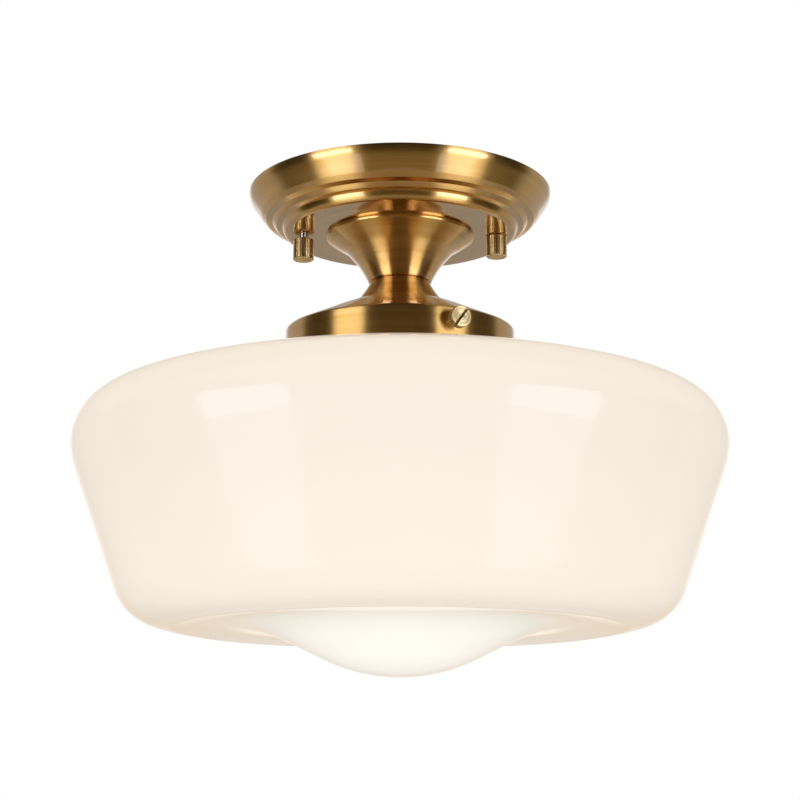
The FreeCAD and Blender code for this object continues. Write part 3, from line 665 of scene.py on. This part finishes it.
# How far down a surface faces where the polish starts, and where it is full
POLISH_START, POLISH_FULL = -0.9, -0.98
SIDE_ROUGHNESS, FACE_ROUGHNESS = 0.33, 0.13
SCRATCH_ROUGHNESS = 0.08
CLOUD_ROUGHNESS = -0.05
CLOUD_SIZE = 22
SIDE_ANISOTROPY, FACE_ANISOTROPY = 0.98, 0.3
QUARTER_TURN = 0.25


def brushed_brass():
    material, tree = new_material("brass_spun_brushed_and_lacquered")
    coordinates = add_node(tree, "TexCoord")
    place = coordinates.outputs["Object"]
    facing = add_node(tree, "SeparateXYZ", inputs={"Vector": coordinates.outputs["Normal"]})
    face = map_values(tree, facing.outputs["Z"], POLISH_START, POLISH_FULL, 0.0, 1.0)
    scratches = noise_round_axis(tree, place, BRUSH_LENGTH, BRUSH_SPACING, SHEET_RADIUS)
    bands = noise_round_axis(tree, place, BAND_LENGTH, BAND_SPACING, SHEET_RADIUS)
    tone = map_values(tree, bands, MOTTLE_LOW, MOTTLE_HIGH, 0.0, 1.0)
    tangent = add_node(tree, "Tangent", {"direction_type": "RADIAL", "axis": "Z"})
    polish = map_values(tree, face, 0.0, 1.0, SIDE_ROUGHNESS, FACE_ROUGHNESS)
    cloud = noise(tree, place, CLOUD_SIZE)
    cloud = map_values(tree, cloud, NOISE_LOW, NOISE_HIGH, CLOUD_ROUGHNESS, 0.0)
    rough = add_node(tree, "Math", {"operation": "MULTIPLY_ADD"},
                     {0: scratches, 1: SCRATCH_ROUGHNESS, 2: cloud})
    rough = add_node(tree, "Math", {"operation": "ADD"}, {0: rough.outputs[0], 1: polish})
    set_surface(tree, {
        "Base Color": mix_colours(tree, tone, BRASS, BRASS_DEEP), "Metallic": 1.0,
        "Roughness": rough.outputs[0],
        "Anisotropic": map_values(tree, face, 0.0, 1.0, SIDE_ANISOTROPY, FACE_ANISOTROPY),
        "Anisotropic Rotation": QUARTER_TURN, "Tangent": tangent.outputs[0],
        "Normal": raised(tree, scratches, SCRATCH_DEPTH),
        "Coat Weight": 1.0, "Coat Roughness": 0.05, "Coat IOR": 1.5})
    return material


paint(brushed_brass(), canopy, bell, collar, holder)

# %% [markdown]
# Brass, turned
#
# The nuts and the thumb screw are turned from bar and left as the tool cut them, so they are paler
# than the brushed sheet, and their end faces carry fine rings. A Mapping node lays the rings round
# the axis of each piece. The grooves of the knurl and the saw slot are darkened with painted shade,
# the shade that would fall into them.

# %% Turned brass
TURNED_BRASS = linear("#F0D79E")
TURNED_BRASS_DEEP = linear("#D2B273")
# The dark brass colour of the painted shade in the knurl's grooves and the saw slot
RECESS_PAINTED_SHADE = linear("#84683A")
RING_LENGTH = 9
RING_SPACING = 0.6
RING_RADIUS = 4
RING_DEPTH = 0.006
RING_LOW, RING_HIGH = 0.38, 0.62
TURNED_SMOOTH, TURNED_ROUGH = 0.38, 0.46
# Where painted shade starts and is full, in mm from the low end, the high end and the rim of a piece
LOW_UNSHADED, LOW_FULL = 0.1, 0.3
HIGH_FULL, HIGH_UNSHADED = 0.3, 0.15
RIM_FULL, RIM_UNSHADED = 0.2, 0.05


def turned_brass(name, centre, turn=(0, 0, 0), radius=0, low=0, high=0):
    """centre is a point on the axis of the piece, in mm; turn lays that axis along Z. Between low
    and high on that axis, all that lies deeper than the given radius is darkened as painted shade."""
    material, tree = new_material(name)
    place = add_node(tree, "Mapping", {"vector_type": "TEXTURE"},
                     {"Vector": in_object(tree), "Location": Vector(centre) * MM,
                      "Rotation": turn})
    round_axis = add_node(tree, "VectorMath", {"operation": "CROSS_PRODUCT"},
                          {0: (0, 0, 1), 1: place.outputs[0]})
    tangent = add_node(tree, "Mapping", {"vector_type": "VECTOR"},
                       {"Vector": round_axis.outputs[0], "Rotation": turn})
    rings = noise_round_axis(tree, place.outputs[0], RING_LENGTH, RING_SPACING, RING_RADIUS, 1.0)
    height = add_node(tree, "SeparateXYZ", inputs={"Vector": place.outputs[0]}).outputs["Z"]
    # Painted shade: a mask that is full deeper than the radius and away from both ends of the piece
    above = map_values(tree, height, (low + LOW_UNSHADED) * MM, (low + LOW_FULL) * MM, 0, 1)
    between = map_values(tree, height, (high - HIGH_FULL) * MM, (high - HIGH_UNSHADED) * MM, above, 0)
    reach = add_node(tree, "VectorMath", {"operation": "LENGTH"}, {0: round_axis.outputs[0]})
    deep = map_values(tree, reach.outputs["Value"], (radius - RIM_FULL) * MM,
                      (radius - RIM_UNSHADED) * MM, between, 0)
    tone = map_values(tree, rings, RING_LOW, RING_HIGH, 0, 1)
    bright = mix_colours(tree, tone, TURNED_BRASS, TURNED_BRASS_DEEP)
    set_surface(tree, {
        # Painted shade: the grooves of the knurl and the saw slot take the dark brass colour
        "Base Color": mix_colours(tree, deep, bright, RECESS_PAINTED_SHADE), "Metallic": 1.0,
        "Roughness": map_values(tree, rings, NOISE_LOW, NOISE_HIGH, TURNED_SMOOTH, TURNED_ROUGH),
        "Anisotropic": 0.5, "Anisotropic Rotation": QUARTER_TURN, "Tangent": tangent.outputs[0],
        "Normal": raised(tree, rings, RING_DEPTH)})
    return material


for side, name in ((-1, "left"), (1, "right")):
    low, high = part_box("cap_nut_" + name)
    nut_brass = turned_brass("brass_turned_and_knurled_" + name, (side * STUD_X, 0, 0),
                             radius=NUT_RADIUS, low=low.z / MM, high=high.z / MM)
    paint(nut_brass, bpy.data.objects["cap_nut_" + name + "_knurled"])
screw_brass = turned_brass("brass_turned_and_slotted", (0, 0, SCREW_HEIGHT),
                           SCREW_TURN.to_euler("XYZ"), SCREW_HEAD_RADIUS,
                           SCREW_FACE - SCREW_HEAD_THICK, SCREW_FACE)
paint(screw_brass, screw, nodes["screw_bush"])
paint(turned_brass("brass_milled_blocks", (0, 0, 0)), nodes["shade_rest_left"],
      nodes["shade_rest_rear"])

# %% [markdown]
# Opal glass, blown
#
# The shade is clear glass over a white opal layer, polished by the fire and lit from inside. Its
# skin mirrors the studio softly, and its body glows. The glow is whitest round the nose, where the
# wall is nearest to the bulb, warmer further out, and dullest on the crown, which the bulb's housing
# shades. A surface that is seen at a low angle mirrors more and lets less of the glow out. A Fresnel
# node gives that share, so the glass rounds off softly at its outline and under its foot.

# %% Opal glass
GLASS_BODY = linear("#918D87")
GLASS_IOR = 1.46
GLASS_GLOSS = 0.17
GLASS_SMOOTH, GLASS_ROUGH = 0.08, 0.12
GLOW_NEAR = linear("#FFFAEC")
GLOW_FAR = linear("#F3E4CD")
GLOW_CROWN = linear("#A39278")
# Distances from the middle of the bulb and heights, in m
BULB_CENTRE = (0, 0, -0.157)
NEAR_REACH, FAR_REACH = 0.066, 0.105
FULL_REACH, WEAK_REACH = 0.115, 0.145
CROWN_LOW, CROWN_HIGH = -0.101, -0.093
BROW_LOW, BROW_HIGH = -0.125, -0.103
FULL_STRENGTH, WEAK_STRENGTH = 0.8, 0.7
BROW_STRENGTH = 0.15
# The share of the glow that leaves a surface where nothing is mirrored, and where all is
GLOW_AHEAD, GLOW_ALONG = 1.03, 0.33
WAVE_SIZE = 60
WAVE_DEPTH = 0.12


def opal_glass():
    material, tree = new_material("opal_glass_blown_and_fire_polished")
    place = in_object(tree)
    reach = add_node(tree, "VectorMath", {"operation": "DISTANCE"}, {0: place, 1: BULB_CENTRE})
    reach = reach.outputs["Value"]
    height = add_node(tree, "SeparateXYZ", inputs={"Vector": place}).outputs["Z"]
    far = map_values(tree, reach, NEAR_REACH, FAR_REACH, 0.0, 1.0)
    glow = mix_colours(tree, far, GLOW_NEAR, GLOW_FAR)
    crown = map_values(tree, height, CROWN_LOW, CROWN_HIGH, 0.0, 1.0)
    brow = map_values(tree, height, BROW_LOW, BROW_HIGH, 0.0, BROW_STRENGTH)
    strength = map_values(tree, reach, FULL_REACH, WEAK_REACH, FULL_STRENGTH, WEAK_STRENGTH)
    strength = add_node(tree, "Math", {"operation": "ADD"}, {0: strength, 1: brow})
    mirrored = add_node(tree, "Fresnel", inputs={"IOR": GLASS_IOR})
    leaving = map_values(tree, mirrored.outputs[0], 0.0, 1.0, GLOW_AHEAD, GLOW_ALONG)
    strength = add_node(tree, "Math", {"operation": "MULTIPLY"},
                        {0: strength.outputs[0], 1: leaving})
    wave = noise(tree, place, WAVE_SIZE)
    set_surface(tree, {
        "Base Color": GLASS_BODY,
        "Roughness": map_values(tree, wave, NOISE_LOW, NOISE_HIGH, GLASS_SMOOTH, GLASS_ROUGH),
        "IOR": GLASS_IOR, "Specular IOR Level": GLASS_GLOSS,
        "Normal": raised(tree, wave, WAVE_DEPTH),
        "Emission Color": mix_colours(tree, crown, glow, GLOW_CROWN),
        "Emission Strength": strength.outputs[0]})
    return material


paint(opal_glass(), glass)

# %% [markdown]
# Bright metals
#
# Strap, studs, nuts, washers and the threaded tube are zinc plated steel. Zinc plate is a cool
# silver with a cloudy gloss. The earthing screw has a green finish, so that it is known. The
# contacts of bulb and lampholder are bright brass, and the bulb's base is nickel plated.

# %% Bright metals
GRAIN_SIZE = 0.4
GRAIN_DEPTH = 0.01


def bright_metal(name, bright, dull, spangle, rough_low, rough_high):
    """A metal with clouds of about spangle mm in its tone and gloss, and a fine grain."""
    material, tree = new_material(name)
    place = in_object(tree)
    cloud = noise(tree, place, spangle, 3.0)
    tone = map_values(tree, cloud, MOTTLE_LOW, MOTTLE_HIGH, 0, 1)
    set_surface(tree, {
        "Base Color": mix_colours(tree, tone, linear(bright), linear(dull)), "Metallic": 1.0,
        "Roughness": map_values(tree, cloud, NOISE_LOW, NOISE_HIGH, rough_low, rough_high),
        "Normal": raised(tree, noise(tree, place, GRAIN_SIZE), GRAIN_DEPTH)})
    return material


ZINC = bright_metal("steel_pressed_and_zinc_plated", "#D4D6D8", "#B9BCC2", spangle=5,
                    rough_low=0.22, rough_high=0.38)
for name in ("left", "right"):
    paint(ZINC, bpy.data.objects["canopy_stud_" + name + "_threaded"])
paint(ZINC, *(nodes[name] for name in (
    "mounting_strap", "stud_locknut_left", "stud_locknut_right", "threaded_tube",
    "upper_tube_nut", "lock_washer", "holder_washer", "lower_tube_nut", "socket_cap",
    "socket_screw_left", "socket_screw_right", "neutral_terminal_screw")))
paint(bright_metal("steel_turned_and_green_passivated", "#3E8A57", "#2C6E43", spangle=3,
                   rough_low=0.3, rough_high=0.45),
      nodes["ground_screw"])
paint(bright_metal("brass_rolled_bright", "#E2C27C", "#CDA75C", spangle=4,
                   rough_low=0.18, rough_high=0.32),
      nodes["live_terminal_screw"], nodes["socket_shell"], nodes["center_contact"],
      nodes["bulb_tip"])
paint(bright_metal("brass_rolled_and_nickel_plated", "#D8D5CC", "#C2BEB4", spangle=4,
                   rough_low=0.16, rough_high=0.3),
      nodes["bulb_screw_base"])

# %% [markdown]
# Porcelain, plastics and boards
#
# The lampholder is glazed porcelain. The bulb has a black glass insulator, a moulded white housing,
# an aluminium board, a driver board and a globe of opal plastic, which gives the light. Glaze and
# glass shine sharply. Moulded plastic and the lacquer of a board are duller.

# %% Porcelain and bulb
BULB_LIGHT = linear("#FFE2B4")
BULB_GLOW = 0.42
GLOSS_SPREAD = 0.08
TEXTURE_PER_CLOUD = 8


def plain_body(name, light, dark, size, roughness, depth=0.01, glow=0.0):
    """A body colour with faint clouds of size mm and a fine texture of the given depth in mm."""
    material, tree = new_material(name)
    place = in_object(tree)
    cloud = noise(tree, place, size, 3.0)
    tone = map_values(tree, cloud, MOTTLE_LOW, MOTTLE_HIGH, 0, 1)
    inputs = {
        "Base Color": mix_colours(tree, tone, linear(light), linear(dark)),
        "Roughness": map_values(tree, cloud, NOISE_LOW, NOISE_HIGH, roughness,
                                roughness + GLOSS_SPREAD),
        "Normal": raised(tree, noise(tree, place, size / TEXTURE_PER_CLOUD), depth)}
    if glow:
        inputs.update({"Emission Color": BULB_LIGHT, "Emission Strength": glow})
    set_surface(tree, inputs)
    return material


paint(plain_body("porcelain_pressed_and_glazed", "#F3F1EA", "#EAE6DB", size=9, roughness=0.1,
                 depth=0.03),
      nodes["socket_body"])
paint(plain_body("vitrite_glass_moulded_black", "#141316", "#1E1C1F", size=4, roughness=0.12),
      nodes["bulb_insulator"])
paint(plain_body("polyester_moulded_white", "#EFEFEC", "#E7E6E1", size=6, roughness=0.38,
                 depth=0.02),
      nodes["bulb_housing"])
paint(plain_body("aluminium_board_masked_white", "#E8EAEA", "#DADCDC", size=3, roughness=0.45),
      nodes["bulb_led_board"])
paint(plain_body("fibreglass_board_masked_green", "#2F6B45", "#27593A", size=2, roughness=0.35),
      nodes["bulb_driver_board"])
paint(plain_body("polycarbonate_blown_opal", "#D2C9B7", "#CCC2AE", size=12, roughness=0.42,
                 glow=BULB_GLOW),
      nodes["bulb_globe"])

# %% [markdown]
# Floor
#
# The lamp hangs at the height of a ceiling, 2.4 m over a sheet of pale paper that starts under it
# and runs back. The paper is matt and takes the light of the lamps, and the camera sees it as white.

# %% Floor
FLOOR_DEPTH = -2.4
FLOOR_WIDTH = 7
FLOOR_LENGTH = 10
PAPER_CLOUD = 400
PAPER_RELIEF = 1
PAPER_ROUGHNESS = 0.8
WHITE = linear("#FFFFFF")


def paper_floor():
    """White where the camera looks at it, and pale paper to every other ray."""
    material, tree = new_material("paper_floor_pale")
    cloud = noise(tree, in_object(tree), PAPER_CLOUD, 3.0)
    paper = add_node(tree, "BsdfPrincipled", inputs={
        "Base Color": mix_colours(tree, cloud, linear("#ECEBE8"), linear("#E6E5E1")),
        "Roughness": PAPER_ROUGHNESS, "Normal": raised(tree, cloud, PAPER_RELIEF)})
    white = add_node(tree, "Emission", inputs={"Color": WHITE, "Strength": 1.0})
    path = add_node(tree, "LightPath")
    either = add_node(tree, "MixShader", inputs={
        0: path.outputs["Is Camera Ray"], 1: paper.outputs[0], 2: white.outputs[0]})
    add_node(tree, "OutputMaterial", inputs={"Surface": either.outputs[0]})
    return material


deselect()
bpy.ops.mesh.primitive_plane_add(size=1, location=(0, FLOOR_LENGTH / 2, FLOOR_DEPTH))
bpy.ops.transform.resize(value=(FLOOR_WIDTH, FLOOR_LENGTH, 1))
floor = bpy.context.object
floor.name = floor.data.name = "studio_floor"
apply_place(floor)
paint(paper_floor(), floor)

# %% [markdown]
# Studio lamps
#
# A soft box stands left and right of the camera, each with a dimmer one below it. They give the two
# upright highlights on every round brass piece.

# %% Studio lamps
SOFTBOX_AZIMUTH = radians(50.5)
SOFTBOX_DISTANCE = 1.9
SOFTBOX_WIDTH = 1.06
SOFTBOX_COLOUR = (0.93, 1.0, 1.22)
# The lower and upper edge of each soft box in m, and the light that leaves it
SOFTBOXES = [(-0.78, 0.2, 5.8), (-2.3, -0.78, 1.8)]

bpy.context.scene.view_settings.view_transform = "Standard"


def add_soft_box(azimuth, low, high, radiance):
    """A soft box gives its radiance times pi times its area, in W."""
    box_data = bpy.data.lights.new("soft_box", "AREA")
    box_data.shape = "RECTANGLE"
    box_data.size = SOFTBOX_WIDTH
    box_data.size_y = high - low
    box_data.energy = radiance * pi * SOFTBOX_WIDTH * (high - low)
    box_data.color = SOFTBOX_COLOUR
    soft_box = bpy.data.objects.new("soft_box", box_data)
    soft_box.location = (SOFTBOX_DISTANCE * sin(azimuth), -SOFTBOX_DISTANCE * cos(azimuth),
                         (high + low) / 2)
    soft_box.rotation_euler = (pi / 2, 0, azimuth)
    soft_box.visible_camera = False
    bpy.context.scene.collection.objects.link(soft_box)
    print(f"soft box of {box_data.energy:.1f} W, {SOFTBOX_WIDTH} x {high - low:.2f} m")


for azimuth in (-SOFTBOX_AZIMUTH, SOFTBOX_AZIMUTH):
    for low, high, radiance in SOFTBOXES:
        add_soft_box(azimuth, low, high, radiance)

# %% [markdown]
# Room round the lamp
#
# The world stands for the room. Matt surfaces take an even grey light from it. A mirroring surface
# shows more: a white wall behind the lamp that ends at a dark ceiling, a grey wall on each side of it,
# and the dark side of the camera. So the brass is dark brown between its highlights, with a pale line
# along its sides. The foot of the white wall fades into the warm far end of the floor, which gives the
# underside of the glass its cream tone. The camera itself sees plain white.

# %% Room round the lamp
ROOM_LIGHT = linear("#ADADAD")
CAMERA_SIDE = linear("#241F17")
SIDE_WALL = linear("#B9B5AE")
FAR_FLOOR = linear("#BAA58D")
# Angles over the horizon, and angles from straight behind the lamp, over which each fades
SKIRTING = (-36, -26)
FLOOR_END = (-6, 8)
CEILING_EDGE = (14, 22)
SIDE_WALL_EDGE = (74, 66)
BACK_WALL_EDGE = (30, 22)


def sines(angles):
    return [sin(radians(angle)) for angle in angles]


def cosines(angles):
    return [cos(radians(angle)) for angle in angles]


def studio_world():
    world = bpy.data.worlds.new("studio")
    bpy.context.scene.world = world
    world.use_nodes = True
    tree = world.node_tree
    tree.nodes.clear()
    path = add_node(tree, "LightPath")
    direction = add_node(tree, "TexCoord").outputs["Generated"]
    flat = add_node(tree, "VectorMath", {"operation": "MULTIPLY"}, {0: direction, 1: (1, 1, 0)})
    level = add_node(tree, "VectorMath", {"operation": "NORMALIZE"}, {0: flat.outputs[0]})
    back = add_node(tree, "VectorMath", {"operation": "DOT_PRODUCT"},
                    {0: level.outputs[0], 1: (0, 1, 0)}).outputs["Value"]
    height = add_node(tree, "SeparateXYZ", inputs={"Vector": direction}).outputs["Z"]
    above_skirting = map_values(tree, height, *sines(SKIRTING), 0, 1)
    below_ceiling = map_values(tree, height, *sines(CEILING_EDGE), above_skirting, 0)
    side = map_values(tree, back, *cosines(SIDE_WALL_EDGE), 0, above_skirting)
    wall = map_values(tree, back, *cosines(BACK_WALL_EDGE), 0, below_ceiling)
    rise = map_values(tree, height, *sines(FLOOR_END), 0, 1)
    dark = mix_colours(tree, side, CAMERA_SIDE, SIDE_WALL)
    mirrored = mix_colours(tree, wall, dark, mix_colours(tree, rise, FAR_FLOOR, WHITE))
    seen = mix_colours(tree, path.outputs["Is Glossy Ray"], ROOM_LIGHT, mirrored)
    straight = add_node(tree, "Math", {"operation": "MAXIMUM"},
                        {0: path.outputs["Is Camera Ray"], 1: path.outputs["Is Transmission Ray"]})
    shown = mix_colours(tree, straight.outputs[0], seen, WHITE)
    background = add_node(tree, "Background", inputs={"Color": shown})
    add_node(tree, "OutputWorld", inputs={"Surface": background.outputs[0]})
    print("room made of", len(tree.nodes), "nodes")


studio_world()
